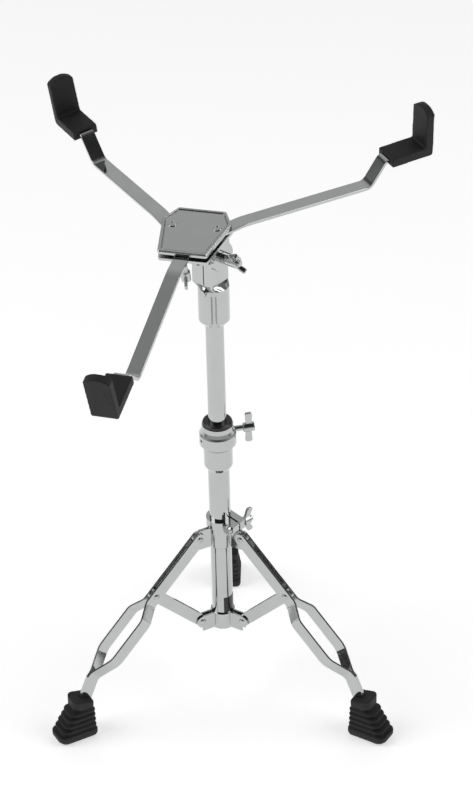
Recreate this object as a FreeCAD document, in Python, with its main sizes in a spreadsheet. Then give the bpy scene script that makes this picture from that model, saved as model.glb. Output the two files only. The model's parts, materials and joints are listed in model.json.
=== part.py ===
import FreeCAD, Part
import math
import os
import Sketcher
from FreeCAD import Placement, Rotation, Vector

# Folding tripod stand for a small drum: a three-arm basket on a tilting head, a telescopic
# column, and three double-braced legs. Millimetres, +Z up, feet on the plane z = 0.

SIZES = {
    # where the column stands in the frame
    "column_x": -17.28, "column_y": 12.73,
    # telescopic column
    "lower_tube_radius": 9.55, "lower_tube_bore": 8.35, "lower_tube_base": 69.0, "lower_tube_top": 269.9,
    "upper_tube_radius": 8.0, "upper_tube_bore": 7.0, "upper_tube_base": 172.0, "upper_tube_top": 428.0,
    "running_gap": 0.05,
    # clamp collar at the top of the lower tube, with its plastic bush
    "collar_base": 243.0, "collar_sleeve": 12.8, "collar_rim": 16.4, "collar_cup": 13.2,
    "collar_ledge": 270.0, "collar_top": 282.4, "collar_neck_top": 289.8, "collar_neck_wall": 0.6,
    "bushing_top": 293.5, "bushing_radius": 13.05, "bushing_waist": 11.9, "bushing_shoulder": 286.0,
    "collar_screw_height": 281.0, "screw_radius": 2.6, "screw_yaw": 14.0,
    "collar_eye_height": 276.0, "collar_eye_yaw": 209.0, "collar_eye_radius": 1.4,
    "sticker_base": 85.6, "sticker_height": 16.7, "sticker_wrap": 83.0, "sticker_depth": 0.2,
    # legs and braces, measured in the vertical plane of one leg
    "pivot_reach": 22.4, "hub_pivot_height": 172.0, "bracket_pivot_height": 78.7, "knee_reach": 68.0,
    "strap_height": 11.6, "strap_thickness": 1.8, "strap_inner": 1.8, "strap_spread": 11.4,
    "brace_height": 11.2, "brace_thickness": 3.4, "rivet_radius": 2.1, "rivet_head": 3.1, "rivet_dome": 1.3,
    "knee_rivet_radius": 1.75, "knee_slot_half_width": 3.4, "knee_slot_half_length": 4.8,
    "brace_overrun": 6.6, "spread_start": 9.0, "spread_end": 24.0, "close_start": 69.0, "close_end": 91.0,
    "spread_bend": 9.0, "bow_bend": 10.0, "closing_bend": 18.0, "shut_bend": 12.0,
    "toe_start": 95.5, "toe_angle": 66.8, "toe_length": 43.0,
    "web_recess": 1.7, "web_thickness": 1.8, "web_start": 13.0, "web_end": 10.0,
    # pressed segments of the hub and of the bottom bracket
    "sheet": 1.5, "hub_base": 159.5, "hub_height": 20.5, "hub_ear_offset": 0.95, "hub_ear_radius": 6.4,
    "bracket_base": 68.0, "bracket_height": 16.5, "bracket_ear_offset": 2.55, "bracket_ear_radius": 5.6,
    "hub_clamp_base": 180.5, "hub_clamp_height": 8.5, "hub_clamp_radius": 12.7,
    "hub_clamp_yaw": -48.0, "hub_clamp_reach": 22.4, "hub_lug_near": 4.0, "hub_lug_far": 13.0,
    "hub_clamp_split": 1.8, "hub_clamp_split_offset": 5.0, "hub_clamp_screw": 16.8, "hub_bolt_tail": 9.5,
    "hub_clamp_heel": 3.0,
    # rubber boots
    "boot_heel": 136.3, "boot_toe": 174.2, "boot_half_width": 11.8, "boot_base": 7.7,
    "boot_rib_pitch": 5.3, "boot_rib_step": 2.9, "boot_rib_taper": 0.4, "boot_neck": 31.2,
    "boot_top": 45.6, "boot_crown_heel": 138.0, "boot_crown_toe": 157.8, "boot_crown_inset": 1.8,
    "boot_mouth_height": 40.7, "boot_mouth_slope": 13.6, "boot_heel_round": 3.2, "boot_toe_round": 6.5,
    # tilting head, in a frame whose x axis is the tilt bolt
    "sleeve_base": 397.0, "sleeve_top": 433.5, "sleeve_radius": 13.6, "sleeve_slot": 4.8,
    "sleeve_slot_yaw": -51.7, "head_base": 437.5, "head_bore_top": 428.5, "tilt_height": 465.0,
    "tilt_yaw": -36.3, "tilt_angle": 8.1, "head_half_width": 11.2, "head_left": 13.8, "head_right": 7.7,
    "ear_radius": 12.9, "ear_thickness": 4.2, "bolt_tail": 18.0, "head_bevel": 3.0,
    "head_boss_radius": 3.2, "head_boss_length": 4.0, "head_boss_start": 11.6,
    "head_slit_width": 0.9, "head_slit_depth": 6.0, "head_slit_height": 20.0, "head_slit_offset": -1.9,
    "lug_half_width": 10.0, "lug_flange": 1.5,
    # basket plates, measured from the middle of the top plate's upper face
    "plate_back": 30.3, "plate_shoulder": 14.1, "plate_back_half": 21.1, "plate_half": 30.8,
    "plate_front_half": 21.6, "plate_thickness": 3.6, "plate_gap": 4.0, "lower_plate": 2.7,
    "panel_depth": 0.8, "rim_width": 2.8, "plate_offset_along": -13.0, "plate_offset_across": -7.0,
    "plate_rise": 23.7, "plate_yaw": 20.46,
    "arm_pivot_half": 19.9, "arm_pivot_back": 7.7, "arm_width": 13.0, "arm_thickness": 2.8,
    "arm_front_heading": -91.3, "arm_right_heading": 46.9, "arm_left_heading": -224.8,
    "arm_reach": 146.2, "arm_drop": 19.0, "riser_run": 17.8, "riser_rise": 19.7,
    "arm_foot": 32.5, "arm_foot_slope": 0.123, "arm_level": 24.0, "front_arm_level": 33.0,
    "arm_droop_bend": 60.0, "arm_riser_bend": 9.0, "arm_foot_bend": 5.0,
    "pivot_head_radius": 3.9, "pivot_head_height": 0.7, "pivot_dimple_radius": 1.7, "plate_corner": 2.0,
    "plate_bevel": 1.0, "panel_corner": 1.5, "groove_width": 0.9, "groove_depth": 1.7,
    "front_arm_origin": 17.4, "front_arm_tail": 19.0, "clamp_screw_front": 23.2, "clamp_screw_drop": 18.5,
    "clamp_screw_side": -2.0, "clamp_screw_yaw": -107.5,
    # rubber arm tips, measured along the arm's foot
    "tip_start": 3.0, "tip_inner_face": 36.7, "tip_width": 22.9, "tip_thickness": 8.6, "tip_wall": 7.3,
    "tip_height": 36.9, "tip_crown": 4.7,
    # wing screws and nuts
    "wing_width": 5.0, "wing_corner": 1.8, "wing_root": 1.5,
    "wing_taper": 0.8, "nut_gap": 0.1,
}

doc = FreeCAD.newDocument("drum_stand")
sheet = doc.addObject("Spreadsheet::Sheet", "sizes")
for row, (alias, value) in enumerate(SIZES.items(), start=1):
    sheet.set("A%d" % row, alias.replace("_", " "))
    sheet.set("B%d" % row, str(value))
    sheet.setAlias("B%d" % row, alias)
doc.recompute()

UP = Vector(0, 0, 1)
ACROSS = Vector(0, 1, 0)
OUT = Vector(1, 0, 0)
LEGS = {"right": -30.0, "rear": 90.0, "left": 210.0}
SEGMENTS = {"front": -90.0, "right": 30.0, "left": 150.0}
HUB_HALF_ANGLE = 45.0
BRACKET_HALF_ANGLE = 38.0
TILT_NUT_ROLL = 30.0
HEIGHT_GRIP_SEAT = 22.8
# length and radius of each grip's boss, then half span, outward flare and thickness of its wings
HEIGHT_GRIP = {"boss": 10.0, "radius": 4.2, "span": 15.0, "flare": 0.0, "thickness": 2.8}
HUB_GRIP = {"boss": 6.5, "radius": 4.2, "span": 12.0, "flare": 4.5, "thickness": 2.8}
TILT_GRIP = {"boss": 15.0, "radius": 5.2, "span": 13.0, "flare": 12.0, "thickness": 4.2}
ARM_GRIP = {"boss": 9.0, "radius": 4.2, "span": 12.5, "flare": 4.0, "thickness": 2.8}
nodes = []


def size(alias):
    """Value of one cell of the sheet."""
    return float(sheet.get(alias))


def turn(axis, degrees, base=Vector()):
    return Placement(base, Rotation(axis, degrees))


# ---------------------------------------------------------------- frames of the assemblies
COLUMN = Placement(Vector(size("column_x"), size("column_y"), 0), Rotation())
TILTER = COLUMN.multiply(turn(UP, size("tilt_yaw"), Vector(0, 0, size("tilt_height"))))
PLATE_CENTRE = Vector(size("plate_offset_along"), size("plate_offset_across"), size("plate_rise"))
BASKET = TILTER.multiply(turn(OUT, size("tilt_angle"))).multiply(turn(UP, size("plate_yaw"), PLATE_CENTRE))
ARM_LEVEL = -(size("plate_thickness") + size("plate_gap") / 2)


def leg_frame(side):
    return COLUMN.multiply(turn(UP, LEGS[side]))


def arm_frame(side):
    """Frame of one basket arm: x along the arm, origin at its pivot."""
    half = {"front": 0.0, "right": size("arm_pivot_half"), "left": -size("arm_pivot_half")}[side]
    back = -size("front_arm_origin") if side == "front" else size("arm_pivot_back")
    return BASKET.multiply(turn(UP, size("arm_%s_heading" % side), Vector(half, back, ARM_LEVEL)))


# ---------------------------------------------------------------- building blocks
def node(shape_object, frame=Placement()):
    """Registers a finished sub-part and puts it in its place in the stand."""
    shape_object.Placement = frame.multiply(shape_object.Placement)
    nodes.append(shape_object)
    return shape_object


def cylinder(name, radius, height, base=Vector(), axis=UP):
    part = doc.addObject("Part::Cylinder", name)
    part.setExpression("Radius", radius)
    part.setExpression("Height", height)
    part.Placement = Placement(base, Rotation(UP, axis))
    return part


def box(name, length, width, height, base=Vector(), rotation=Rotation()):
    part = doc.addObject("Part::Box", name)
    part.setExpression("Length", length)
    part.setExpression("Width", width)
    part.setExpression("Height", height)
    part.Placement = Placement(base, rotation)
    return part


def fuse(name, shapes):
    part = doc.addObject("Part::MultiFuse", name)
    part.Shapes = shapes
    return part


def cut(name, base, tool):
    part = doc.addObject("Part::Cut", name)
    part.Base = base
    part.Tool = tool
    return part


def new_body(name):
    return doc.addObject("PartDesign::Body", name)


def sketch_on(body, name, role, offset=0.0):
    """Empty sketch on one of the body's origin planes, moved along the plane's normal."""
    sketch = body.newObject("Sketcher::SketchObject", name)
    origin_plane = next(item for item in body.Origin.OriginFeatures if item.Role == role)
    sketch.AttachmentSupport = (origin_plane, [""])
    sketch.MapMode = "FlatFace"
    sketch.AttachmentOffset = Placement(Vector(0, 0, offset), Rotation())
    return sketch


def corner_arc(before, corner, after, radius):
    """Tangent arc that rounds the corner of a polyline."""
    back = (before - corner).normalize()
    ahead = (after - corner).normalize()
    half = back.getAngle(ahead) / 2
    start = corner + back * (radius / math.tan(half))
    end = corner + ahead * (radius / math.tan(half))
    centre = corner + (back + ahead).normalize() * (radius / math.sin(half))
    middle = centre + (corner - centre).normalize() * radius
    return start, middle, end


def path_edges(points, radii, closed=False):
    """Lines joined by tangent arcs through the corners of a polyline."""
    count = len(points)
    corners = range(count) if closed else range(1, count - 1)
    arcs = {}
    for index, radius in zip(corners, radii):
        if radius > 0:
            arcs[index] = corner_arc(points[index - 1], points[index], points[(index + 1) % count], radius)
    edges = []
    for index in range(count if closed else count - 1):
        following = (index + 1) % count
        start = arcs[index][2] if index in arcs else points[index]
        end = arcs[following][0] if following in arcs else points[following]
        if start.distanceToPoint(end) > 1e-6:
            edges.append(Part.LineSegment(start, end))
        if following in arcs:
            edges.append(Part.Arc(*arcs[following]))
    return edges


def draw(sketch, points, radii=(), closed=True):
    radii = list(radii) or [0] * len(points)
    for edge in path_edges([Vector(x, y, 0) for x, y in points], radii, closed):
        sketch.addGeometry(edge)


def circle(sketch, radius, x=0.0, y=0.0):
    """Circle with its radius bound to the sheet."""
    index = sketch.addGeometry(Part.Circle(Vector(x, y, 0), UP, 1.0))
    bound = sketch.addConstraint(Sketcher.Constraint("Radius", index, 1.0))
    sketch.setExpression("Constraints[%d]" % bound, radius)


def pad(body, sketch, length, symmetric=True):
    feature = body.newObject("PartDesign::Pad", sketch.Name + "_pad")
    feature.Profile = sketch
    feature.SideType = "Symmetric" if symmetric else "One side"
    feature.setExpression("Length", length)
    return feature


def pocket(body, sketch, length):
    """Symmetric pocket about the sketch plane."""
    feature = body.newObject("PartDesign::Pocket", sketch.Name + "_pocket")
    feature.Profile = sketch
    feature.SideType = "Symmetric"
    feature.setExpression("Length", length)
    return feature


def revolve(label, profile):
    """Solid of revolution about Z from its (radius, height) outline."""
    body = new_body(label)
    sketch = sketch_on(body, label + "_outline", "XZ_Plane")
    draw(sketch, profile)
    feature = body.newObject("PartDesign::Revolution", label + "_turn")
    feature.Profile = sketch
    feature.ReferenceAxis = (sketch, ["V_Axis"])
    feature.Angle = 360
    return body


def sweep(body, name, start, half_across, half_up, points, radii, plane="XY_Plane"):
    """Flat bar: a rectangle swept along a path that starts along +X at x = start."""
    path = sketch_on(body, name + "_path", plane)
    draw(path, points, radii, closed=False)
    profile = sketch_on(body, name + "_section", "YZ_Plane", start)
    middle = points[0][1]
    across, up = (middle, 0) if plane == "XY_Plane" else (0, middle)
    draw(profile, [(across - half_across, up - half_up), (across + half_across, up - half_up),
                   (across + half_across, up + half_up), (across - half_across, up + half_up)])
    pipe = body.newObject("PartDesign::AdditivePipe", name + "_bar")
    pipe.Profile = profile
    pipe.Spine = path
    return pipe


# ---------------------------------------------------------------- column
def make_column():
    for label in ("lower_tube", "upper_tube"):
        base = Vector(0, 0, size(label + "_base"))
        length = "sizes.%s_top - sizes.%s_base" % (label, label)
        outside = cylinder(label + "_outside", "sizes.%s_radius" % label, length, base)
        inside = cylinder(label + "_inside", "sizes.%s_bore" % label, length, base)
        node(cut(label, outside, inside), COLUMN)


def make_height_collar():
    bore = size("lower_tube_radius")
    base = size("collar_base")
    sleeve = size("collar_sleeve")
    rim = size("collar_rim")
    cup = size("collar_cup")
    ledge = size("collar_ledge")
    top = size("collar_top")
    neck = cup + size("collar_neck_wall")
    neck_top = size("collar_neck_top")
    turned = revolve("height_collar_turned", [
        (bore, base), (bore + 1, base), (sleeve, base + 4), (sleeve, ledge - 4), (rim, ledge),
        (rim, top - 2), (rim - 1, top), (neck + 0.5, top + 3), (neck, neck_top), (cup, neck_top),
        (cup, ledge), (bore, ledge)])
    holes = [collar_hole("height_collar_hole", "sizes.screw_radius + sizes.running_gap",
                         size("screw_yaw"), size("collar_screw_height")),
             collar_hole("height_collar_eye", "sizes.collar_eye_radius",
                         size("collar_eye_yaw"), size("collar_eye_height"))]
    node(cut("height_collar", turned, fuse("height_collar_holes", holes)), COLUMN)


def collar_hole(name, radius, yaw, height):
    """Radial hole through the wall of the collar's cup."""
    heading = Rotation(UP, yaw).multVec(OUT)
    start = heading * size("bushing_waist") + UP * height
    return cylinder(name, radius, "sizes.collar_rim", start, heading)


def make_height_bushing():
    bore = size("upper_tube_radius") + size("running_gap")
    waist = size("bushing_waist")
    radius = size("bushing_radius")
    ledge = size("collar_ledge")
    top = size("bushing_top")
    shoulder = size("bushing_shoulder")
    edge = 1.2
    node(revolve("height_bushing", [
        (bore, ledge), (waist, ledge), (waist, shoulder - 1), (radius, shoulder), (radius, top - edge),
        (radius - edge, top), (bore, top)]), COLUMN)


def make_tube_sticker():
    """Plain dark label wrapped round the front right of the lower tube."""
    label = "tube_sticker"
    base = Vector(0, 0, size("sticker_base"))
    outside = cylinder(label + "_outside", "sizes.lower_tube_radius + sizes.sticker_depth",
                       "sizes.sticker_height", base)
    outside.setExpression("Angle", "sizes.sticker_wrap")
    outside.Placement = Placement(base, Rotation(UP, 2 - size("sticker_wrap")))
    inside = cylinder(label + "_inside", "sizes.lower_tube_radius", "sizes.sticker_height", base)
    node(cut(label, outside, inside), COLUMN)


# ---------------------------------------------------------------- wing screws and nuts
def disc(body, name, radius, start, length):
    """Round boss along +X from x = start."""
    sketch = sketch_on(body, name, "YZ_Plane", start)
    circle(sketch, radius)
    return pad(body, sketch, str(length), symmetric=False)


def grip(body, label, seat, form):
    """Boss at x = seat with two rounded paddles that lean outward, in the X-Z plane."""
    disc(body, label + "_boss", str(form["radius"]), seat, form["boss"])
    root = form["radius"] - size("wing_root")
    low = seat + (form["boss"] - size("wing_width")) / 2
    high = low + size("wing_width")
    wider = form["flare"] + size("wing_taper")
    narrower = form["flare"] - size("wing_taper")
    corner = size("wing_corner")
    for side, sign in (("upper", 1), ("lower", -1)):
        sketch = sketch_on(body, "%s_%s_wing" % (label, side), "XZ_Plane")
        draw(sketch, [(low, sign * root), (high, sign * root), (high + wider, sign * form["span"]),
                      (low + narrower, sign * form["span"])], [0, 0, corner, corner])
        pad(body, sketch, str(form["thickness"]))


def wing_screw(label, frame, tip, seat, form):
    """Screw along +X whose tip is at x = tip and whose grip starts at x = seat."""
    body = new_body(label)
    disc(body, label + "_shaft", "sizes.screw_radius", tip, seat - tip + form["boss"] / 2)
    grip(body, label, seat, form)
    node(body, frame)


def wing_nut(label, frame, seat, form):
    """Nut on a bolt along +X, with its seat at x = seat."""
    body = new_body(label)
    grip(body, label, seat, form)
    bore = sketch_on(body, label + "_bore", "YZ_Plane", seat)
    circle(bore, "sizes.screw_radius + sizes.running_gap")
    pocket(body, bore, str(4 * form["boss"]))
    node(body, frame)


def make_height_screw():
    frame = COLUMN.multiply(turn(UP, size("screw_yaw"), Vector(0, 0, size("collar_screw_height"))))
    tip = size("bushing_waist") + size("nut_gap")
    wing_screw("height_wing_screw", frame, tip, HEIGHT_GRIP_SEAT, HEIGHT_GRIP)


# ---------------------------------------------------------------- hub and bottom bracket
def pressed_segment(label, half_angle, group):
    """Bent sheet between two legs: a bulge round the tube with a flat ear beside each leg."""
    offset = size(group + "_ear_offset")
    ear_radius = size(group + "_ear_radius")
    height = size(group + "_height")
    middle = size("lower_tube_radius") + size("running_gap") + size("sheet") / 2
    half = math.radians(half_angle)
    touch = Vector(middle * math.cos(half), middle * math.sin(half), 0)
    facet = Vector(-math.sin(half), math.cos(half), 0)
    ear = Vector(math.cos(math.radians(60)), math.sin(math.radians(60)), 0)
    inward = Vector(ear.y, -ear.x, 0)
    knee = touch + facet * ((offset - touch.dot(inward)) / facet.dot(inward))
    tip = ear * (size("pivot_reach") + ear_radius) + inward * offset
    points = [(tip.x, tip.y), (knee.x, knee.y), (middle / math.cos(half), 0), (knee.x, -knee.y),
              (tip.x, -tip.y)]
    body = new_body(label + "_sheet")
    outline = sketch_on(body, label + "_outline", "XY_Plane", size(group + "_base") + height / 2)
    for edge in sheet_band(points, [1.5, middle, 1.5]):
        outline.addGeometry(edge)
    pad(body, outline, "sizes.%s_height" % group)
    tools = []
    for side in (1, -1):
        along = Vector(ear.x, side * ear.y, 0)
        normal = Vector(inward.x, side * inward.y, 0)
        seat = along * size("pivot_reach") + UP * size(group + "_pivot_height")
        frame = Placement(seat, Rotation(along, normal.cross(along), normal, "ZXY"))
        name = "%s_%d" % (label, side)
        tools.append(cylinder(name + "_hole", "sizes.rivet_radius + sizes.running_gap", "12",
                              seat - normal * 6, normal))
        tools.append(ear_trim(name + "_trim", "sizes.%s_ear_radius" % group, frame))
    return cut(label, body, fuse(label + "_tools", tools))


def sheet_band(points, radii):
    """Closed outline of a bent sheet: its middle line offset to both sides and joined."""
    half = size("sheet") / 2
    corners = [Vector(x, y, 0) for x, y in points]
    sides = []
    for sign in (1, -1):
        shifted = []
        for index, corner in enumerate(corners):
            before = corners[max(index - 1, 0)]
            after = corners[min(index + 1, len(corners) - 1)]
            first = (corner - before) if index else (after - corner)
            second = (after - corner) if index < len(corners) - 1 else (corner - before)
            normals = [Vector(-d.y, d.x, 0).normalize() for d in (first, second)]
            bisector = (normals[0] + normals[1]).normalize()
            shifted.append(corner + bisector * (sign * half / bisector.dot(normals[0])))
        turns = [(corners[i] - corners[i - 1]).cross(corners[i + 1] - corners[i]).z
                 for i in range(1, len(corners) - 1)]
        bends = [radius - sign * half * math.copysign(1, t) for radius, t in zip(radii, turns)]
        sides.append(path_edges(shifted, bends))
    left, right = sides
    ends = [Part.LineSegment(right[0].StartPoint, left[0].StartPoint),
            Part.LineSegment(left[-1].EndPoint, right[-1].EndPoint)]
    return left + right + ends


def ear_trim(name, radius, frame):
    """Tool that rounds the end of an ear: everything past the pivot outside the ear's radius."""
    block = box(name + "_block", "20", "60", "12", Vector(0, -30, -6))
    keep = cylinder(name + "_keep", radius, "12", Vector(0, 0, -6))
    trim = cut(name, block, keep)
    trim.Placement = frame
    return trim


def make_segments():
    for side, heading in SEGMENTS.items():
        frame = COLUMN.multiply(turn(UP, heading))
        node(pressed_segment("hub_segment_" + side, HUB_HALF_ANGLE, "hub"), frame)
        node(pressed_segment("bracket_segment_" + side, BRACKET_HALF_ANGLE, "bracket"), frame)


def make_hub_clamp():
    """Split ring on the tube above the hub, pinched by a bolt with a wing nut."""
    body = new_body("hub_clamp_ring")
    middle = size("hub_clamp_base") + size("hub_clamp_height") / 2
    near = -size("hub_lug_near")
    far = size("hub_lug_far")
    reach = size("hub_clamp_reach")
    radius = size("hub_clamp_radius")
    ring = sketch_on(body, "hub_clamp_round", "XY_Plane", middle)
    circle(ring, "sizes.hub_clamp_radius")
    pad(body, ring, "sizes.hub_clamp_height")
    lug = sketch_on(body, "hub_clamp_lug", "XY_Plane", middle)
    draw(lug, [(2, 0.5 - radius), (radius - 1.2, near), (reach, near), (reach - size("hub_clamp_heel"), far),
               (0, radius - 0.1)])
    pad(body, lug, "sizes.hub_clamp_height")
    bore = sketch_on(body, "hub_clamp_bore", "XY_Plane", middle)
    circle(bore, "sizes.lower_tube_radius + sizes.running_gap")
    pocket(body, bore, "3 * sizes.hub_clamp_height")
    low = size("hub_clamp_split_offset") - size("hub_clamp_split") / 2
    high = low + size("hub_clamp_split")
    split = sketch_on(body, "hub_clamp_gap", "XY_Plane", middle)
    draw(split, [(6, low), (2 * reach, low), (2 * reach, high), (6, high)])
    pocket(body, split, "3 * sizes.hub_clamp_height")
    hole = sketch_on(body, "hub_clamp_hole", "XZ_Plane")
    circle(hole, "sizes.screw_radius + sizes.running_gap", size("hub_clamp_screw"), middle)
    pocket(body, hole, "4 * sizes.hub_clamp_reach")
    frame = COLUMN.multiply(turn(UP, size("hub_clamp_yaw")))
    node(body, frame)
    bolt_frame = frame.multiply(turn(UP, 90, Vector(size("hub_clamp_screw"), 0, middle)))
    node(bolt("hub_clamp_bolt", near, far + size("hub_bolt_tail")), bolt_frame)
    wing_nut("hub_clamp_wing_nut", bolt_frame, far + size("nut_gap"), HUB_GRIP)


def bolt(label, seat, end):
    """Bolt along +X with its head seated at x = seat."""
    head_height = 1.3 * size("screw_radius")
    shank = cylinder(label + "_shank", "sizes.screw_radius", str(end - seat), Vector(seat, 0, 0), OUT)
    head = cylinder(label + "_head", "1.75 * sizes.screw_radius", str(head_height),
                    Vector(seat - head_height, 0, 0), OUT)
    return fuse(label, [shank, head])


# ---------------------------------------------------------------- legs
KNEE_ANGLE = math.atan2(size("hub_pivot_height") - size("bracket_pivot_height"),
                        2 * (size("knee_reach") - size("pivot_reach")))
KNEE_HEIGHT = (size("hub_pivot_height") + size("bracket_pivot_height")) / 2
LINK_LENGTH = (size("knee_reach") - size("pivot_reach")) / math.cos(KNEE_ANGLE)


def knee_frame(side):
    """x runs down the leg from the knee pivot, z is square to the leg and points up and out."""
    tilt = turn(ACROSS, math.degrees(KNEE_ANGLE), Vector(size("knee_reach"), 0, KNEE_HEIGHT))
    return leg_frame(side).multiply(tilt)


def leg_strap(label, side, sign):
    """One of the two flat straps of a leg: straight, bowed out past the knee, closed at the toe."""
    half_height = size("strap_height") / 2
    half = size("strap_thickness") / 2
    near = sign * (size("strap_inner") + half)
    far = sign * (size("strap_spread") + half)
    shut = sign * (half + 0.02)
    body = new_body(label + "_bar")
    points = [(-LINK_LENGTH, near), (size("spread_start"), near), (size("spread_end"), far),
              (size("close_start"), far), (size("close_end"), shut), (size("toe_start") - 1, shut)]
    bends = [size(bend + "_bend") for bend in ("spread", "bow", "closing", "shut")]
    sweep(body, label, -LINK_LENGTH, half, half_height, points, bends)
    crown = sketch_on(body, label + "_crown", "XZ_Plane", -near)
    circle(crown, "sizes.strap_height / 2", -LINK_LENGTH, 0)
    pad(body, crown, "sizes.strap_thickness")
    add_toe(body, label, shut)
    holes = [cylinder(label + "_hub_hole", "sizes.rivet_radius", "40",
                      Vector(-LINK_LENGTH, -20, 0), ACROSS),
             cylinder(label + "_knee_hole", "sizes.knee_rivet_radius", "40", Vector(0, -20, 0), ACROSS)]
    node(cut(label, body, fuse(label + "_holes", holes)), knee_frame(side))


def add_toe(body, label, shut):
    """Lower end of a strap, cranked down into the boot."""
    half_height = size("strap_height") / 2
    bend = math.radians(size("toe_angle") - math.degrees(KNEE_ANGLE))
    heel_x = size("toe_start")
    along = Vector(math.cos(bend), -math.sin(bend), 0)
    square = Vector(math.sin(bend), math.cos(bend), 0)
    end = Vector(heel_x, 0, 0) + along * size("toe_length")
    shift = half_height * math.tan(bend / 2)
    outline = [(heel_x - 1.5, -half_height), (heel_x - shift, -half_height),
               (end.x - square.x * half_height, end.y - square.y * half_height),
               (end.x + square.x * half_height, end.y + square.y * half_height),
               (heel_x + shift, half_height), (heel_x - 1.5, half_height)]
    toe = sketch_on(body, label + "_toe", "XZ_Plane", -shut)
    draw(toe, outline)
    pad(body, toe, "sizes.strap_thickness")


def make_leg(side):
    for name, sign in (("a", 1), ("b", -1)):
        leg_strap("leg_%s_strap_%s" % (side, name), side, sign)
    web = box("leg_%s_web" % side, "%f - sizes.web_start - sizes.web_end" % LINK_LENGTH,
              "2 * sizes.strap_inner", "sizes.web_thickness",
              Vector(size("web_start") - LINK_LENGTH, -size("strap_inner"),
                     size("strap_height") / 2 - size("web_recess") - size("web_thickness")))
    node(web, knee_frame(side))
    node(fuse("leg_%s_rivets" % side, leg_rivets(side)), knee_frame(side))
    make_brace(side)
    make_boot(side)


def leg_rivets(side):
    """Hub pivot rivet and knee rivet of one leg, each with a domed head on both sides."""
    reach = size("strap_inner") + size("strap_thickness")
    solids = []
    for place, x, radius in (("hub", -LINK_LENGTH, "rivet_radius"), ("knee", 0, "knee_rivet_radius")):
        name = "leg_%s_%s_rivet" % (side, place)
        solids.append(cylinder(name, "sizes." + radius, str(2 * reach), Vector(x, -reach, 0), ACROSS))
        solids += rivet_heads(name, Vector(x, 0, 0), ACROSS, reach)
    return solids


def rivet_heads(name, middle, axis, reach):
    """Domed rivet heads: two spherical caps facing away from each other."""
    dome = size("rivet_dome")
    ball = (size("rivet_head") ** 2 + dome ** 2) / (2 * dome)
    ball_radius = "(sizes.rivet_head ^ 2 + sizes.rivet_dome ^ 2) / (2 * sizes.rivet_dome)"
    heads = []
    for sign in (1, -1):
        head = doc.addObject("Part::Sphere", "%s_head_%d" % (name, sign))
        head.setExpression("Radius", ball_radius)
        head.Angle1 = math.degrees(math.asin((ball - dome) / ball))
        outward = axis * sign
        head.Placement = Placement(middle + outward * (reach - ball + dome), Rotation(UP, outward))
        heads.append(head)
    return heads


def make_brace(side):
    """Flat brace from the bottom bracket up to the knee, with a clearance slot at the knee."""
    body = new_body("brace_%s" % side)
    end = LINK_LENGTH
    half_height = size("brace_height") / 2
    bar = sketch_on(body, "brace_%s_bar" % side, "XZ_Plane")
    corner = half_height - 0.05
    stop = end + size("brace_overrun")
    draw(bar, [(-half_height, -half_height), (stop, -half_height), (stop, half_height),
               (-half_height, half_height)], [corner, 4.6, 4.6, corner])
    pad(body, bar, "sizes.brace_thickness")
    hole = sketch_on(body, "brace_%s_hole" % side, "XZ_Plane")
    circle(hole, "sizes.rivet_radius + sizes.running_gap")
    pocket(body, hole, "4 * sizes.brace_thickness")
    slot = sketch_on(body, "brace_%s_slot" % side, "XZ_Plane")
    wide = size("knee_slot_half_width")
    long = size("knee_slot_half_length")
    draw(slot, [(end - long, -wide), (end + long, -wide), (end + long, wide), (end - long, wide)],
         [2.2] * 4)
    pocket(body, slot, "4 * sizes.brace_thickness")
    rise = turn(ACROSS, -math.degrees(KNEE_ANGLE),
                Vector(size("pivot_reach"), 0, size("bracket_pivot_height")))
    node(body, leg_frame(side).multiply(rise))


def make_bracket_rivets():
    """The three pivots of the braces, riveted through the bracket's ears."""
    reach = size("bracket_ear_offset") + size("sheet") / 2
    solids = []
    for side, heading in LEGS.items():
        frame = turn(UP, heading)
        middle = frame.multVec(Vector(size("pivot_reach"), 0, size("bracket_pivot_height")))
        axis = frame.Rotation.multVec(ACROSS)
        name = "bracket_rivet_" + side
        solids.append(cylinder(name, "sizes.rivet_radius", str(2 * reach), middle - axis * reach, axis))
        solids += rivet_heads(name, middle, axis, reach)
    node(fuse("bracket_rivets", solids), COLUMN)


# ---------------------------------------------------------------- boots
def boot_levels():
    """(height, heel, toe, half width) of the boot's outline from sole to top."""
    heel = size("boot_heel")
    toe = size("boot_toe")
    half = size("boot_half_width")
    base = size("boot_base")
    levels = [(0.0, heel + 1.2, toe - 2.6, half - 1.0), (3.0, heel, toe, half), (base, heel, toe, half)]
    for rib in range(1, 5):
        height = base + rib * size("boot_rib_pitch")
        reach = toe - rib * size("boot_rib_step")
        width = half - rib * size("boot_rib_taper")
        levels.append((height - 3.9, heel + 1.6, reach - 3.4, width - 2.4))
        levels.append((height - 1.9, heel + 0.6, reach - 0.6, width - 0.2))
        levels.append((height, heel + 0.6, reach, width))
    neck = size("boot_neck")
    crown_heel = size("boot_crown_heel")
    crown_toe = size("boot_crown_toe")
    side = half - size("boot_crown_inset")
    levels += [(neck, crown_heel + 1.0, crown_toe - 3.0, side - 2.4),
               (neck + 2.0, crown_heel, crown_toe, side), (size("boot_top"), crown_heel, crown_toe, side)]
    return levels


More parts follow.
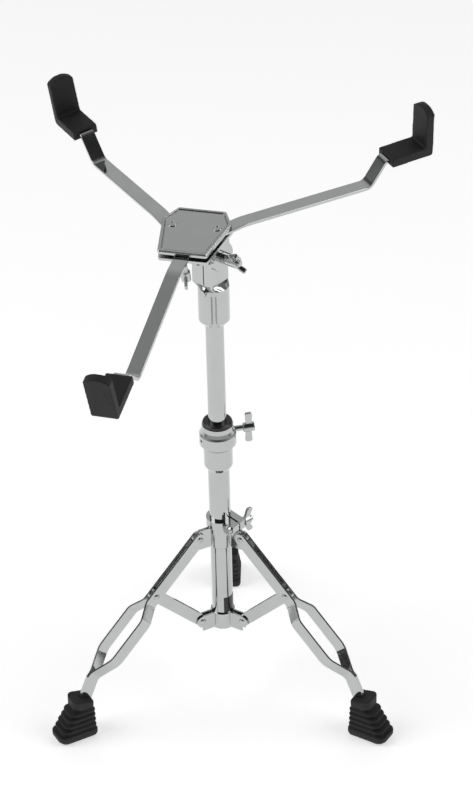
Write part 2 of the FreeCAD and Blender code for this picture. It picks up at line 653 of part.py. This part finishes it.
def make_boot(side):
    label = "boot_" + side
    outlines = []
    for index, (height, heel, toe, half) in enumerate(boot_levels()):
        sketch = doc.addObject("Sketcher::SketchObject", "%s_level_%d" % (label, index))
        sketch.Placement = Placement(Vector(0, 0, height), Rotation())
        rounds = [size("boot_%s_round" % end) for end in ("heel", "toe", "toe", "heel")]
        draw(sketch, [(heel, -half), (toe, -half), (toe, half), (heel, half)], rounds)
        outlines.append(sketch)
    loft = doc.addObject("Part::Loft", label + "_ribs")
    loft.Sections = outlines
    loft.Solid = True
    loft.Ruled = True
    bend = math.radians(size("toe_angle"))
    heel_x = size("toe_start")
    corner = Vector(size("knee_reach") + heel_x * math.cos(KNEE_ANGLE), 0,
                    KNEE_HEIGHT - heel_x * math.sin(KNEE_ANGLE))
    socket = box(label + "_socket", "sizes.toe_length + 0.01", "2 * sizes.strap_thickness + 0.04",
                 "sizes.strap_height",
                 corner - Vector(math.sin(bend), 0, math.cos(bend)) * (size("strap_height") / 2)
                 - ACROSS * (size("strap_thickness") + 0.02), Rotation(ACROSS, size("toe_angle")))
    tools = fuse(label + "_tools", [socket, boot_mouth(label)])
    node(cut(label, loft, tools), leg_frame(side))


def boot_mouth(label):
    """Tool that slopes the boot's top face down toward the heel."""
    slope = Rotation(ACROSS, -size("boot_mouth_slope"))
    middle = Vector((size("boot_crown_heel") + size("boot_crown_toe")) / 2, 0, size("boot_mouth_height"))
    return box(label + "_mouth", "60", "60", "20", middle - slope.multVec(Vector(30, 30, 0)), slope)


# ---------------------------------------------------------------- tilting head
def make_tilter_body():
    """Cast head: split sleeve on the upper tube, blended into a block with the tilt barrel."""
    drop = -size("tilt_height")
    half = size("head_half_width")
    left = Vector(-size("head_left"), 0, 0)
    bevel = size("head_bevel")
    low = drop + size("sleeve_base")
    length = "sizes.sleeve_top - sizes.sleeve_base - sizes.head_bevel"
    sleeve = cylinder("head_sleeve", "sizes.sleeve_radius", length, Vector(0, 0, low + bevel))
    chamfer = doc.addObject("Part::Cone", "head_sleeve_chamfer")
    chamfer.setExpression("Radius1", "sizes.sleeve_radius - 2.4")
    chamfer.setExpression("Radius2", "sizes.sleeve_radius")
    chamfer.Height = bevel
    chamfer.Placement = Placement(Vector(0, 0, low), Rotation())
    wide = "sizes.head_left + sizes.head_right"
    tall = "sizes.tilt_height - sizes.head_base"
    block = box("head_block", wide, "2 * sizes.head_half_width", tall,
                left - ACROSS * half + UP * (drop + size("head_base")))
    barrel = cylinder("head_barrel", "sizes.head_half_width", wide, left, OUT)
    boss = cylinder("head_boss", "sizes.head_boss_radius", "sizes.head_boss_length",
                    Vector(0, -size("head_boss_start"), drop + size("sleeve_top") - 2), -ACROSS)
    solid = fuse("head_solid", [sleeve, chamfer, head_shoulder(drop), block, barrel, boss])
    bore = cylinder("head_bore", "sizes.upper_tube_radius + sizes.running_gap",
                    "sizes.head_bore_top - sizes.sleeve_base + 1", Vector(0, 0, low - 1))
    bolt_hole = cylinder("head_bolt_hole", "sizes.screw_radius + sizes.running_gap", "60",
                         Vector(-30, 0, 0), OUT)
    slot = box("head_slot", "20", "sizes.sleeve_slot", "sizes.sleeve_top - sizes.sleeve_base - 3",
               Vector(4, -size("sleeve_slot") / 2, low - 1))
    slot.Placement = turn(UP, size("sleeve_slot_yaw")).multiply(slot.Placement)
    slit = box("head_slit", "sizes.head_slit_width", "sizes.head_slit_depth + 1", "sizes.head_slit_height",
               Vector(size("head_slit_offset"), -half - 1, drop + size("head_base")))
    tools = fuse("head_tools", [bore, bolt_hole, slot, slit])
    node(cut("tilter_body", solid, tools), TILTER)


def head_shoulder(drop):
    """Loft from the round sleeve to the rectangular block of the head."""
    half = size("head_half_width")
    left = -size("head_left")
    right = size("head_right")
    ring = doc.addObject("Sketcher::SketchObject", "head_ring")
    ring.Placement = Placement(Vector(0, 0, drop + size("sleeve_top")), Rotation())
    circle(ring, "sizes.sleeve_radius")
    collar = doc.addObject("Sketcher::SketchObject", "head_collar")
    collar.Placement = Placement(Vector(0, 0, drop + size("head_base")), Rotation())
    draw(collar, [(left, -half), (right, -half), (right, half), (left, half)], [1.0] * 4)
    shoulder = doc.addObject("Part::Loft", "head_shoulder")
    shoulder.Sections = [ring, collar]
    shoulder.Solid = True
    shoulder.Ruled = True
    return shoulder


def make_tilter_lug():
    """Ear beside the head's barrel, joined to a flange under the lower basket plate."""
    label = "tilter_lug"
    inner = size("head_right") + size("nut_gap")
    under = size("plate_rise") - size("plate_thickness") - size("plate_gap") - size("lower_plate")
    wide = size("lug_half_width")
    ear = cylinder("lug_ear", "sizes.ear_radius", "sizes.ear_thickness", Vector(inner, 0, 0), OUT)
    neck = box("lug_neck", "sizes.ear_thickness", "2 * sizes.lug_half_width", str(under),
               Vector(inner, -wide, 0))
    flange = box("lug_flange", "%f + sizes.ear_thickness + sizes.head_left" % inner,
                 "2 * sizes.lug_half_width", "sizes.lug_flange",
                 Vector(-size("head_left"), -wide, under - size("lug_flange")))
    hole = cylinder("lug_hole", "sizes.screw_radius + sizes.running_gap", "40", Vector(), OUT)
    node(cut(label, fuse("lug_solid", [ear, neck, flange]), hole),
         TILTER.multiply(turn(OUT, size("tilt_angle"))))


def make_tilter_bolt():
    right = size("head_right") + size("ear_thickness") + size("nut_gap")
    node(bolt("tilter_bolt", -size("head_left"), right + size("bolt_tail")), TILTER)
    nut_frame = TILTER.multiply(turn(OUT, TILT_NUT_ROLL))
    wing_nut("tilter_wing_nut", nut_frame, right + size("nut_gap"), TILT_GRIP)


# ---------------------------------------------------------------- basket
def plate_outline(inset=0.0):
    """Hexagon of the basket plates as (x, y), y towards the back."""
    back = size("plate_back") - inset
    shoulder = size("plate_shoulder")
    widest = size("plate_half") - inset
    right = [(size("plate_front_half") - inset * 0.9, -back), (widest, shoulder - inset * 0.3),
             (size("plate_back_half") - inset * 0.4, back)]
    return right + [(-x, y) for x, y in reversed(right)]


def make_top_plate():
    body = new_body("basket_top_plate")
    outline = sketch_on(body, "top_plate_outline", "XY_Plane", -size("plate_thickness") / 2)
    draw(outline, plate_outline(), [size("plate_corner")] * 6)
    plate = pad(body, outline, "sizes.plate_thickness")
    doc.recompute()
    rim = [name for name, edge in named_edges(plate) if edge_height(edge) > -0.01]
    bevel = body.newObject("PartDesign::Chamfer", "top_plate_bevel")
    bevel.Base = (plate, rim)
    bevel.setExpression("Size", "sizes.plate_bevel")
    panel = sketch_on(body, "top_plate_panel", "XY_Plane")
    draw(panel, plate_outline(size("rim_width")), [size("panel_corner")] * 6)
    pocket(body, panel, "2 * sizes.panel_depth")
    groove = sketch_on(body, "top_plate_groove", "XY_Plane")
    for inset in (size("rim_width"), size("rim_width") + size("groove_width")):
        draw(groove, plate_outline(inset), [size("panel_corner")] * 6)
    pocket(body, groove, "2 * sizes.groove_depth")
    screws = sketch_on(body, "top_plate_screws", "XY_Plane")
    for sign in (1, -1):
        circle(screws, "sizes.screw_radius", sign * size("arm_pivot_half"), size("arm_pivot_back"))
    pocket(body, screws, "4 * sizes.plate_thickness")
    node(body, BASKET)


def named_edges(feature):
    return [("Edge%d" % (index + 1), edge) for index, edge in enumerate(feature.Shape.Edges)]


def edge_height(edge):
    return min(vertex.Z for vertex in edge.Vertexes)


def make_bottom_plate():
    body = new_body("basket_bottom_plate")
    top = -size("plate_thickness") - size("plate_gap")
    middle = top - size("lower_plate") / 2
    outline = sketch_on(body, "bottom_plate_outline", "XY_Plane", middle)
    draw(outline, plate_outline(), [size("plate_corner")] * 6)
    pad(body, outline, "sizes.lower_plate")
    screws = sketch_on(body, "bottom_plate_screws", "XY_Plane", middle)
    for sign in (1, -1):
        circle(screws, "sizes.screw_radius", sign * size("arm_pivot_half"), size("arm_pivot_back"))
    circle(screws, "sizes.screw_radius + sizes.running_gap", size("clamp_screw_side"),
           -size("clamp_screw_front"))
    pocket(body, screws, "4 * sizes.lower_plate")
    node(body, BASKET)


def make_pivot_screws():
    """Two screws that clamp the plates and carry the rear arms, with flat recessed heads."""
    depth = size("plate_thickness") + size("plate_gap") + size("lower_plate")
    solids = []
    dimples = []
    for name, sign in (("right", 1), ("left", -1)):
        at = Vector(sign * size("arm_pivot_half"), size("arm_pivot_back"), 0)
        panel = at - UP * size("panel_depth")
        solids.append(cylinder("pivot_shank_" + name, "sizes.screw_radius", str(depth), at - UP * depth))
        solids.append(cylinder("pivot_head_" + name, "sizes.pivot_head_radius", "sizes.pivot_head_height",
                               panel))
        dimples.append(cylinder("pivot_dimple_" + name, "sizes.pivot_dimple_radius", "2", at - UP * 0.6))
    solid = fuse("pivot_screw_solids", solids)
    node(cut("arm_pivot_screws", solid, fuse("pivot_dimples", dimples)), BASKET)


def make_arm(side):
    """Flat strap arm: level between the plates, drooping outward, then a riser and a short foot."""
    label = "arm_" + side
    body = new_body(label)
    front = side == "front"
    start = -size("front_arm_tail") if front else 0.0
    level = size("front_arm_level") if front else size("arm_level")
    reach = size("arm_reach")
    drop = -size("arm_drop")
    top = Vector(reach + size("riser_run"), drop + size("riser_rise"), 0)
    foot = size("arm_foot")
    points = [(start, 0), (level, 0), (reach, drop), (top.x, top.y),
              (top.x + foot, top.y - size("arm_foot_slope") * foot)]
    bends = [size("arm_%s_bend" % bend) for bend in ("droop", "riser", "foot")]
    sweep(body, label, start, size("arm_width") / 2, size("arm_thickness") / 2, points, bends, "XZ_Plane")
    if not front:
        eye = sketch_on(body, label + "_eye", "XY_Plane")
        circle(eye, "sizes.arm_width / 2")
        pad(body, eye, "sizes.arm_thickness")
        hole = sketch_on(body, label + "_hole", "XY_Plane")
        circle(hole, "sizes.screw_radius + sizes.running_gap")
        pocket(body, hole, "4 * sizes.arm_thickness")
    node(body, arm_frame(side))


def tip_frame(side):
    """x along the arm's foot from the top of the riser, z square to the foot."""
    riser_top = Vector(size("arm_reach") + size("riser_run"), 0, size("riser_rise") - size("arm_drop"))
    slope = math.degrees(math.atan(size("arm_foot_slope")))
    return arm_frame(side).multiply(turn(ACROSS, slope, riser_top))


def make_arm_tip(side):
    """L-shaped rubber tip pushed over the arm's foot, with an upright wall against the drum."""
    label = "arm_tip_" + side
    body = new_body(label)
    start = size("tip_start")
    inner = size("tip_inner_face")
    outer = inner + size("tip_wall")
    half = size("tip_thickness") / 2
    shoulder = size("tip_height")
    top = shoulder + size("tip_crown")
    outline = sketch_on(body, label + "_outline", "XZ_Plane")
    draw(outline, [(start, -half), (outer, -half), (outer, top), (inner, top), (inner, half), (start, half)],
         [1.0, 3.0, 1.0, 1.0, 1.3, 1.0])
    pad(body, outline, "sizes.tip_width")
    width = size("tip_width") / 2
    crown = sketch_on(body, label + "_crown", "YZ_Plane", inner)
    crown.addGeometry(Part.Arc(Vector(width, shoulder, 0), Vector(0, top, 0), Vector(-width, shoulder, 0)))
    around = [Vector(-width, shoulder, 0), Vector(-width - 4, shoulder, 0), Vector(-width - 4, top + 4, 0),
              Vector(width + 4, top + 4, 0), Vector(width + 4, shoulder, 0), Vector(width, shoulder, 0)]
    for first, second in zip(around, around[1:]):
        crown.addGeometry(Part.LineSegment(first, second))
    pocket(body, crown, "8 * sizes.tip_wall")
    slot = sketch_on(body, label + "_slot", "XZ_Plane")
    deep = size("arm_foot") * math.hypot(1, size("arm_foot_slope")) + 0.1
    tall = size("arm_thickness") / 2
    draw(slot, [(start - 3, -tall), (deep, -tall), (deep, tall), (start - 3, tall)])
    pocket(body, slot, "sizes.arm_width")
    node(body, tip_frame(side))


def make_basket_wing_screw():
    """Screw under the plates that clamps the sliding front arm."""
    tip = Vector(size("clamp_screw_side"), -size("clamp_screw_front"),
                 ARM_LEVEL - size("arm_thickness") / 2 - size("nut_gap"))
    frame = BASKET.multiply(Placement(tip, Rotation(ACROSS, 90)))
    aligned = frame.multiply(turn(OUT, size("clamp_screw_yaw")))
    wing_screw("basket_wing_screw", aligned, 0.0, size("clamp_screw_drop"), ARM_GRIP)


# ---------------------------------------------------------------- the whole stand
def make_stand():
    make_column()
    make_height_collar()
    make_height_bushing()
    make_tube_sticker()
    make_height_screw()
    make_segments()
    make_hub_clamp()
    for side in LEGS:
        make_leg(side)
    make_bracket_rivets()
    make_tilter_body()
    make_tilter_lug()
    make_tilter_bolt()
    make_top_plate()
    make_bottom_plate()
    make_pivot_screws()
    for side in ("front", "right", "left"):
        make_arm(side)
        make_arm_tip(side)
    make_basket_wing_screw()


def check_and_export():
    for item in doc.Objects:
        if "Invalid" in item.State or "Error" in item.State:
            raise RuntimeError("%s failed: %s" % (item.Name, item.State))
    os.makedirs("parts", exist_ok=True)
    for item in nodes:
        if item.Shape.isNull() or not item.Shape.isValid():
            raise RuntimeError("%s has no valid shape" % item.Label)
    for item in nodes:
        item.Shape.exportStep(os.path.join("parts", item.Label + ".step"))
        print("%-28s %2d solids %10.1f mm3" % (item.Label, len(item.Shape.Solids), item.Shape.Volume))


make_stand()
doc.recompute()
check_and_export()
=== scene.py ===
"""Looks of the folding drum stand: bright chrome, cast chrome, nylon and black rubber."""
import json
import math

import bmesh
import bpy
from mathutils import Matrix, Vector


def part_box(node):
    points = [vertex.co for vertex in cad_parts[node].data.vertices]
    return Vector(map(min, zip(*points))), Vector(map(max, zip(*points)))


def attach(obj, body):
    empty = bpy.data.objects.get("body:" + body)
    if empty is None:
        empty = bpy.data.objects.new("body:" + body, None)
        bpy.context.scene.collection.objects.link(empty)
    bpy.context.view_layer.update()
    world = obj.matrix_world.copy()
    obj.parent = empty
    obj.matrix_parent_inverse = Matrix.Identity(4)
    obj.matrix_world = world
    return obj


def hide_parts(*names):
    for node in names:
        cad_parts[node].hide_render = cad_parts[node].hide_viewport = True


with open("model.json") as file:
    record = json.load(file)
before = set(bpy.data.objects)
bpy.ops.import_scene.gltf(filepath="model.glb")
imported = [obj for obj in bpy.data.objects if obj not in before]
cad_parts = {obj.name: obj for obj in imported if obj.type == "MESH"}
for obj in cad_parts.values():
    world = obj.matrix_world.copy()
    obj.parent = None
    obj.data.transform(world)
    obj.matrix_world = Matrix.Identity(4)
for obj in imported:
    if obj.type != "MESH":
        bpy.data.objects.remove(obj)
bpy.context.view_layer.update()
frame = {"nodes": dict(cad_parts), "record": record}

MM = 0.001
SLOT_OF = {row["node"]: row["material_slot"] for row in frame["record"]["subparts"]}
BODY_OF = {node: body
           for body, nodes in frame["record"]["behaviour"]["bodies"].items()
           for node in nodes}

# Mesh finishing
WELD_DISTANCE = 0.002 * MM
FLAT_ANGLE = math.radians(0.5)
SHARP_ANGLE = math.radians(34)
EDGE_WIDTH = 0.35 * MM
EDGE_SEGMENTS = 2
BLEND_FACTOR = 0.5
GRIP_VOXEL, GRIP_PASSES = 0.35 * MM, 3
RUBBER_VOXEL, RUBBER_PASSES = 0.7 * MM, 2
EDGED_PREFIXES = ("arm_", "leg_", "brace_", "hub_", "bracket_segment", "basket_", "tilter_")

# Sockets of the colour mix node
MIX_COLOUR_A, MIX_COLOUR_B, MIX_COLOUR_RESULT = 6, 7, 2


# ---------------------------------------------------------------- node building
class Nodes:
    """Small helper that adds and links shader nodes of one material or world."""

    def __init__(self, tree):
        self.tree = tree
        tree.nodes.clear()

    def add(self, kind, settings=None, **inputs):
        node = self.tree.nodes.new(kind)
        for name, value in (settings or {}).items():
            setattr(node, name, value)
        for name, value in inputs.items():
            self.feed(node, name.replace("_", " "), value)
        return node

    def feed(self, node, name, value):
        socket = node.inputs[name]
        if isinstance(value, bpy.types.NodeSocket):
            self.tree.links.new(value, socket)
        else:
            socket.default_value = value

    def noise(self, vector, scale, detail=4.0, roughness=0.55):
        node = self.add("ShaderNodeTexNoise", Scale=scale, Detail=detail, Roughness=roughness)
        self.feed(node, "Vector", vector)
        return node.outputs["Fac"]

    def ramp(self, factor, span, result):
        """Map factor from the span (low, high) to the result (first, last)."""
        node = self.add("ShaderNodeMapRange", Value=factor)
        self.feed(node, "From Min", span[0])
        self.feed(node, "From Max", span[1])
        self.feed(node, "To Min", result[0])
        self.feed(node, "To Max", result[1])
        return node.outputs["Result"]

    def math(self, operation, *values):
        node = self.add("ShaderNodeMath", {"operation": operation})
        for index, value in enumerate(values):
            self.feed(node, index, value)
        return node.outputs[0]

    def mix(self, factor, first, second):
        node = self.add("ShaderNodeMix", {"data_type": "RGBA"})
        self.feed(node, "Factor", factor)
        node.inputs[MIX_COLOUR_A].default_value = (*first, 1.0)
        node.inputs[MIX_COLOUR_B].default_value = (*second, 1.0)
        return node.outputs[MIX_COLOUR_RESULT]

    def bump(self, height, strength, distance):
        node = self.add("ShaderNodeBump", Height=height, Strength=strength, Distance=distance)
        return node.outputs["Normal"]

    def stretched(self, vector, scale, shift=(0.0, 0.0, 0.0)):
        mapping = self.add("ShaderNodeMapping")
        self.feed(mapping, "Vector", vector)
        mapping.inputs["Scale"].default_value = scale
        mapping.inputs["Location"].default_value = shift
        return mapping.outputs["Vector"]


# ---------------------------------------------------------------- materials
def material(name):
    made = bpy.data.materials.new(name)
    made.use_nodes = True
    nodes = Nodes(made.node_tree)
    shader = nodes.add("ShaderNodeBsdfPrincipled")
    output = nodes.add("ShaderNodeOutputMaterial")
    made.node_tree.links.new(shader.outputs["BSDF"], output.inputs["Surface"])
    place = nodes.add("ShaderNodeTexCoord").outputs["Object"]
    return made, nodes, shader, place


def bright_chrome():
    """Mirror plate with faint upright polishing marks and light smudging."""
    dull, bright = (0.46, 0.47, 0.47), (0.53, 0.54, 0.535)
    upright = (1.0, 1.0, 0.06)
    made, nodes, shader, place = material("bright_chrome")
    smudge = nodes.noise(place, scale=38.0)
    polish = nodes.noise(nodes.stretched(place, upright), scale=900.0, detail=2.0)
    nodes.feed(shader, "Base Color", nodes.mix(smudge, dull, bright))
    nodes.feed(shader, "Roughness", nodes.ramp(smudge, span=(0.35, 0.7), result=(0.05, 0.11)))
    nodes.feed(shader, "Normal", nodes.bump(polish, strength=0.06, distance=0.02 * MM))
    shader.inputs["Metallic"].default_value = 1.0
    return made


def cast_chrome():
    """Chromed die casting: softer gloss over a fine grainy skin."""
    dull, bright = (0.49, 0.50, 0.50), (0.55, 0.56, 0.55)
    made, nodes, shader, place = material("cast_chrome")
    grain = nodes.noise(place, scale=1000.0, detail=3.0, roughness=0.6)
    patches = nodes.noise(place, scale=120.0)
    nodes.feed(shader, "Base Color", nodes.mix(patches, dull, bright))
    nodes.feed(shader, "Roughness", nodes.ramp(patches, span=(0.3, 0.7), result=(0.2, 0.25)))
    nodes.feed(shader, "Normal", nodes.bump(grain, strength=0.7, distance=0.10 * MM))
    shader.inputs["Metallic"].default_value = 1.0
    return made


def moulded(name, dark, pale, grain_scale, grain_depth, roughness):
    """Black moulded stuff: fine grain, with patches that are a little paler."""
    made, nodes, shader, place = material(name)
    grain = nodes.noise(place, grain_scale, detail=5.0, roughness=0.65)
    patches = nodes.noise(place, scale=55.0)
    paler = nodes.ramp(patches, span=(0.4, 0.75), result=(0.0, 1.0))
    nodes.feed(shader, "Base Color", nodes.mix(paler, dark, pale))
    nodes.feed(shader, "Roughness", nodes.ramp(grain, span=(0.3, 0.7), result=roughness))
    nodes.feed(shader, "Normal", nodes.bump(grain, strength=0.5, distance=grain_depth))
    shader.inputs["Metallic"].default_value = 0.0
    return made


MATERIALS = {
    "chrome": bright_chrome(),
    "cast_chrome": cast_chrome(),
    "black_plastic": moulded("black_nylon", dark=(0.008, 0.008, 0.008), pale=(0.018, 0.018, 0.018),
                             grain_scale=1400.0, grain_depth=0.05 * MM, roughness=(0.3, 0.42)),
    "rubber": moulded("black_rubber", dark=(0.006, 0.006, 0.006), pale=(0.013, 0.0125, 0.012),
                      grain_scale=1100.0, grain_depth=0.16 * MM, roughness=(0.58, 0.78)),
    "sticker": moulded("dark_label", dark=(0.006, 0.006, 0.007), pale=(0.012, 0.012, 0.013),
                       grain_scale=500.0, grain_depth=0.02 * MM, roughness=(0.22, 0.3)),
}


# ---------------------------------------------------------------- finished pieces
def welded_copy(node):
    """Copy of a node's mesh with its flat faces made whole again."""
    mesh = frame["nodes"][node].data.copy()
    work = bmesh.new()
    work.from_mesh(mesh)
    bmesh.ops.remove_doubles(work, verts=work.verts, dist=WELD_DISTANCE)
    bmesh.ops.dissolve_limit(work, angle_limit=FLAT_ANGLE, verts=work.verts, edges=work.edges)
    work.to_mesh(mesh)
    work.free()
    return mesh


def finished(node, suffix):
    """A better piece that stands for a CAD node, on the same body and in the same slot."""
    mesh = welded_copy(node)
    piece = bpy.data.objects.new(node + suffix, mesh)
    bpy.context.scene.collection.objects.link(piece)
    mesh.materials.clear()
    mesh.materials.append(MATERIALS[SLOT_OF[node]])
    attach(piece, BODY_OF[node])
    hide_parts(node)
    return piece


def eased(node):
    """Node with its sharp edges rounded, as plated sheet and turned parts have them."""
    piece = finished(node, "_eased")
    bevel = piece.modifiers.new("edges", "BEVEL")
    bevel.width = EDGE_WIDTH
    bevel.segments = EDGE_SEGMENTS
    bevel.limit_method = "ANGLE"
    bevel.angle_limit = SHARP_ANGLE
    bevel.use_clamp_overlap = True
    piece.data.shade_smooth()
    piece.data.set_sharp_from_angle(angle=SHARP_ANGLE)
    normals = piece.modifiers.new("normals", "WEIGHTED_NORMAL")
    normals.keep_sharp = True


def cast(node, voxel, passes):
    """Node with the soft, blended edges of a casting or a moulding."""
    piece = finished(node, "_cast")
    remesh = piece.modifiers.new("skin", "REMESH")
    remesh.mode = "VOXEL"
    remesh.voxel_size = voxel
    remesh.use_smooth_shade = True
    smooth = piece.modifiers.new("blend", "SMOOTH")
    smooth.factor = BLEND_FACTOR
    smooth.iterations = passes


def dress_nodes():
    """Round and soften the parts that need it, and give every other node its material."""
    grips = [node for node in SLOT_OF if "wing" in node]
    mouldings = [node for node in SLOT_OF if SLOT_OF[node] == "rubber"]
    edged = [node for node in SLOT_OF
             if node.startswith(EDGED_PREFIXES) and node not in grips + mouldings]
    for node in grips:
        cast(node, GRIP_VOXEL, GRIP_PASSES)
    for node in mouldings:
        cast(node, RUBBER_VOXEL, RUBBER_PASSES)
    for node in edged:
        eased(node)
    for node, shown in frame["nodes"].items():
        if node in grips + mouldings + edged:
            continue
        shown.data.materials.clear()
        shown.data.materials.append(MATERIALS[SLOT_OF[node]])


# ---------------------------------------------------------------- stage
def floor_material():
    """Pale, slightly cloudy surface that glows: a painted pool of light, even round the stand, that
    fades out far from the stand.
    """
    shadow_tint, light_tint = (0.90, 0.90, 0.90), (0.93, 0.93, 0.93)
    # Painted light: size and centre of the painted pool of light that the floor emits.
    lit_half_width, lit_half_depth, lit_centre = 1.30, 1.70, 0.40
    glow, fade = 0.50, (0.8, 1.8)
    made, nodes, shader, place = material("pale_floor")
    cloudy = nodes.noise(place, scale=2.0)
    nodes.feed(shader, "Base Color", nodes.mix(cloudy, shadow_tint, light_tint))
    nodes.feed(shader, "Roughness", nodes.ramp(cloudy, span=(0.3, 0.7), result=(0.8, 0.9)))
    # Painted light: emission strength falls off with oval distance from the centre, a painted glow
    # rather than a lamp.
    distance = nodes.add("ShaderNodeVectorMath", {"operation": "LENGTH"})
    oval = nodes.stretched(place, (1 / lit_half_width, 1 / lit_half_depth, 0.0),
                           shift=(0.0, -lit_centre / lit_half_depth, 0.0))
    nodes.feed(distance, "Vector", oval)
    nodes.feed(shader, "Emission Strength",
               nodes.ramp(distance.outputs["Value"], span=fade, result=(glow, 0.0)))
    shader.inputs["Emission Color"].default_value = (1.0, 1.0, 1.0, 1.0)
    return made


def make_floor():
    half = 6.0
    below_boots = 0.0005
    mesh = bpy.data.meshes.new("floor")
    mesh.from_pydata([(-half, -half, 0), (half, -half, 0), (half, half, 0), (-half, half, 0)], [],
                     [(0, 1, 2, 3)])
    mesh.materials.append(floor_material())
    floor = bpy.data.objects.new("floor", mesh)
    floor.location.z = -below_boots
    bpy.context.scene.collection.objects.link(floor)


def make_world():
    """Studio surroundings: a grey wall behind, a pale band round the horizon, and otherwise dark."""
    room = 0.04
    world = bpy.data.worlds.new("studio")
    world.use_nodes = True
    bpy.context.scene.world = world
    nodes = Nodes(world.node_tree)
    place = nodes.add("ShaderNodeTexCoord").outputs["Generated"]
    split = nodes.add("ShaderNodeSeparateXYZ", Vector=place)
    wall = nodes.ramp(split.outputs["Y"], span=(-0.25, 0.3), result=(0.0, 1.0))
    height = nodes.ramp(split.outputs["Z"], span=(0.72, 0.97), result=(0.68, 0.22))
    sideways = nodes.math("ABSOLUTE", split.outputs["X"])
    width = nodes.ramp(sideways, span=(0.42, 0.72), result=(1.0, 0.1))
    lit = nodes.math("MULTIPLY", nodes.math("MULTIPLY", wall, height), width)
    horizon = nodes.ramp(split.outputs["Z"], span=(0.15, 0.35), result=(0.62, 0.0))
    shade = nodes.math("MAXIMUM", nodes.math("ADD", lit, room), horizon)
    background = nodes.add("ShaderNodeBackground", Strength=shade)
    output = nodes.add("ShaderNodeOutputWorld")
    world.node_tree.links.new(background.outputs["Background"], output.inputs["Surface"])


def soft_light(name, place, power):
    """Large square lamp, turned to the middle of the stand."""
    side = 2.0
    middle = Vector((0.0, 0.0, 0.25))
    data = bpy.data.lights.new(name, "AREA")
    data.shape = "RECTANGLE"
    data.size = side
    data.size_y = side
    data.energy = power
    lamp = bpy.data.objects.new(name, data)
    lamp.location = place
    lamp.rotation_euler = (middle - Vector(place)).to_track_quat("-Z", "Y").to_euler()
    bpy.context.scene.collection.objects.link(lamp)


def make_lights():
    soft_light("key", place=(-2.3, -0.3, 2.2), power=34.0)
    soft_light("fill", place=(2.3, -0.3, 2.2), power=29.0)


def make_camera():
    """Long lens, looking down at the stand from in front, a little to its right."""
    distance = 2.752
    elevation = math.radians(34.72)
    roll = math.radians(-1.43)
    heading = Matrix.Rotation(math.radians(2.06), 3, "Z")
    aim_right, aim_height = 0.0172, 0.3137
    sensor_height = 24.0
    focal_pixels, image_height = 3162.6, 800
    tube_low, tube_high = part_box("lower_tube")
    column = Vector(((tube_low.x + tube_high.x) / 2, (tube_low.y + tube_high.y) / 2, 0))
    offset = Vector((aim_right, -distance * math.cos(elevation),
                     aim_height + distance * math.sin(elevation)))
    forward = heading @ Vector((0, math.cos(elevation), -math.sin(elevation)))
    level = heading @ Vector((1, 0, 0))
    upward = level.cross(forward)
    right = level * math.cos(roll) + upward * math.sin(roll)
    above = upward * math.cos(roll) - level * math.sin(roll)
    data = bpy.data.cameras.new("camera")
    data.sensor_fit = "VERTICAL"
    data.sensor_height = sensor_height
    data.lens = sensor_height * focal_pixels / image_height
    camera = bpy.data.objects.new("camera", data)
    turn = Matrix((right, above, -forward)).transposed().to_4x4()
    camera.matrix_world = Matrix.Translation(column + heading @ offset) @ turn
    bpy.context.scene.collection.objects.link(camera)
    bpy.context.scene.camera = camera


dress_nodes()
make_floor()
make_world()
make_lights()
make_camera()
bpy.context.scene.view_settings.view_transform = "Standard"
